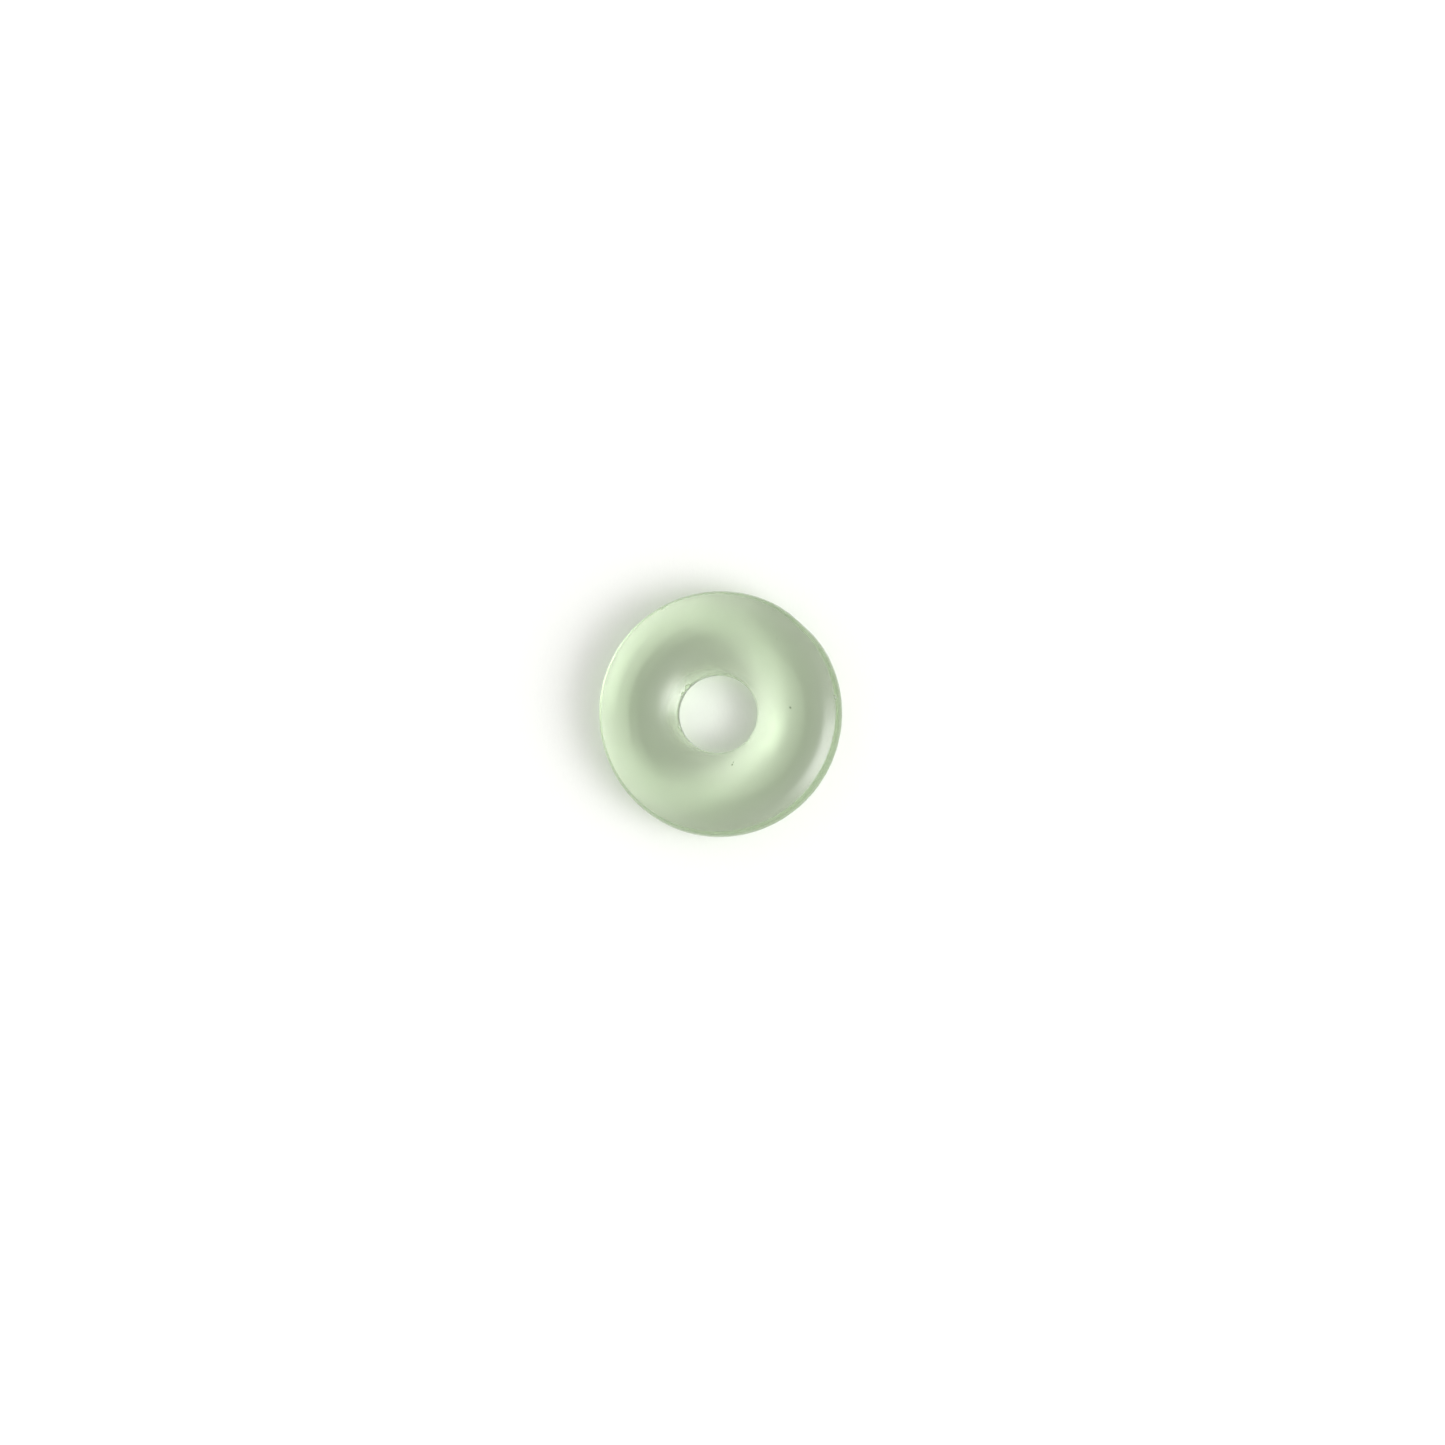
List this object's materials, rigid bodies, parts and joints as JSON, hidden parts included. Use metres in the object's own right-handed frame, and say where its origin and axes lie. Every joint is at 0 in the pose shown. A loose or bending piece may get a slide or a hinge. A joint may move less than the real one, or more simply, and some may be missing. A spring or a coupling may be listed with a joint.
{
  "type": "jade ring pendant",
  "caption": "Flat polished ring of translucent pale green jade with domed faces, a crisp rim and a drilled round hole.",
  "frame": {"origin": "middle of the ring at the level of the flat annulus it rests on", "axes": "+Z along the axis of the hole, up through the more strongly domed face"},
  "size_m": [0.025, 0.025, 0.0049],
  "materials": {
    "jade": "polished, translucent, faintly hazed by wear"
  },
  "bodies": {
    "root": {"ring": "jade"}
  },
  "joints": []
}
